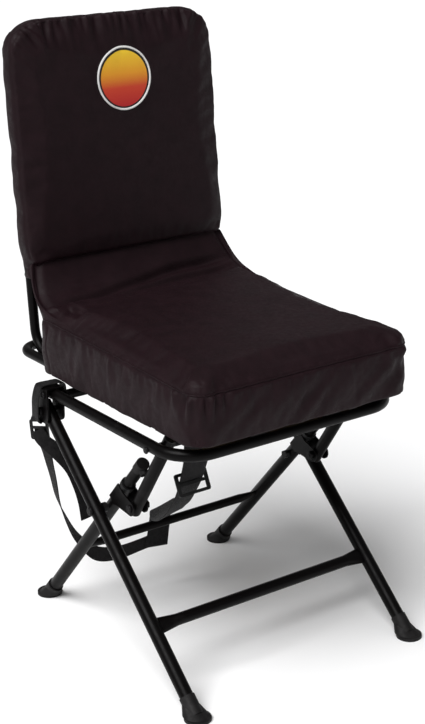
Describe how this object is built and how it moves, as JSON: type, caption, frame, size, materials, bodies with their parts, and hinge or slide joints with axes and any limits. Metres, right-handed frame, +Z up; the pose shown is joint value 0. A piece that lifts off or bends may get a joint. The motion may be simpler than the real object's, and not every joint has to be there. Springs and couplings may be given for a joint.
{
  "type": "folding swivel chair",
  "caption": "Folding swivel chair with a padded seat and fold-down back on a scissor-leg tube base with a carry strap.",
  "frame": {"origin": "on the floor, under the middle of the chair's whole length and width", "axes": "+Z up from the floor, -Y the way the sitter faces, +X to the sitter's left"},
  "size_m": [0.4694, 0.5826, 0.9797],
  "materials": {
    "black_coated_steel": "satin powder coat",
    "black_fastener": "satin black oxide",
    "bearing_steel": "plain steel, oiled",
    "black_rubber": "matte moulded rubber",
    "black_plastic": "matte moulded plastic",
    "cover_cloth": "plain woven polyester, slightly sheeny",
    "strap_webbing": "ribbed polyester webbing",
    "foam": "open-cell cushion foam",
    "plywood": "unfinished"
  },
  "bodies": {
    "base": {"base_rail": "black_coated_steel", "front_cross_rod": "black_coated_steel", "rear_cross_tube": "black_coated_steel", "link_rivets": "black_fastener", "rear_brackets": "black_coated_steel", "bracket_rivets": "black_fastener", "hinge_bolts": "black_fastener", "hinge_nuts": "black_fastener", "swivel_bars": "black_coated_steel", "swivel_plate_lower": "black_coated_steel", "swivel_race_lower": "bearing_steel", "bearing_balls": "bearing_steel", "centre_bolt": "bearing_steel", "centre_nut": "bearing_steel", "lower_plate_screws": "black_fastener", "strap_rod_loop": "strap_webbing", "strap_wide": "strap_webbing", "strap_narrow": "strap_webbing", "strap_tail": "strap_webbing", "strap_anchor": "strap_webbing", "slider_buckle": "black_plastic", "strap_buckle": "black_plastic"},
    "seat": {"swivel_race_upper": "bearing_steel", "swivel_plate_upper": "black_coated_steel", "upper_plate_screws": "black_fastener", "seat_frame": "black_coated_steel", "seat_bars": "black_coated_steel", "seat_board": "plywood", "seat_foam": "foam", "seat_cover": "cover_cloth", "back_hinge_bolts": "black_fastener", "back_hinge_nuts": "black_fastener", "back_hinge_washers": "black_plastic", "back_stops": "black_coated_steel", "cover_flap": "cover_cloth"},
    "backrest": {"back_frame": "black_coated_steel", "back_cross_tubes": "black_coated_steel", "back_foam": "foam", "back_cover": "cover_cloth", "back_patch": "cover_cloth"},
    "front_legs": {"front_leg_left": "black_coated_steel", "front_leg_right": "black_coated_steel", "front_crossbar": "black_coated_steel", "front_feet": "black_rubber", "scissor_bolts": "black_fastener", "scissor_spacers": "black_fastener"},
    "links": {"lock_link_left": "black_coated_steel", "lock_link_right": "black_coated_steel", "link_plugs": "black_plastic", "lock_bolts": "black_fastener", "lock_nuts": "black_fastener"},
    "rear_legs": {"rear_leg_left": "black_coated_steel", "rear_leg_right": "black_coated_steel", "lock_plates": "black_coated_steel", "leg_tips": "black_coated_steel", "leg_collars": "black_plastic", "tip_bumpers": "black_rubber", "rear_feet": "black_rubber", "rear_crossbar": "black_coated_steel", "scissor_nuts": "black_fastener"}
  },
  "joints": [
    {"name": "swivel", "type": "hinge", "parent": "base", "child": "seat", "pos_m": [0, -0.04204, 0.425], "axis": [0, 0, 1], "continuous": true},
    {"name": "back_fold", "type": "hinge", "parent": "seat", "child": "backrest", "pos_m": [0, 0.10596, 0.4425], "axis": [1, 0, 0], "range_deg": [0, 95], "deforming": ["cover_flap"]},
    {"name": "leg_fold", "type": "hinge", "parent": "base", "child": "front_legs", "pos_m": [0, 0.14046, 0.3725], "axis": [1, 0, 0], "range_deg": [-36, 0], "deforming": ["strap_wide", "strap_narrow", "strap_tail", "strap_anchor", "strap_rod_loop"]},
    {"name": "link_fold", "type": "hinge", "parent": "base", "child": "links", "pos_m": [0, -0.15554, 0.39934], "axis": [1, 0, 0], "range_deg": [0, 57.18]},
    {"name": "rear_leg_fold", "type": "hinge", "parent": "links", "child": "rear_legs", "pos_m": [0, -0.06701, 0.26647], "axis": [1, 0, 0], "range_deg": [-176.18, 0]}
  ],
  "couplings": [
    {"joint": "link_fold", "follows": "leg_fold", "ratio": -1.588},
    {"joint": "rear_leg_fold", "follows": "leg_fold", "ratio": 4.8936}
  ]
}
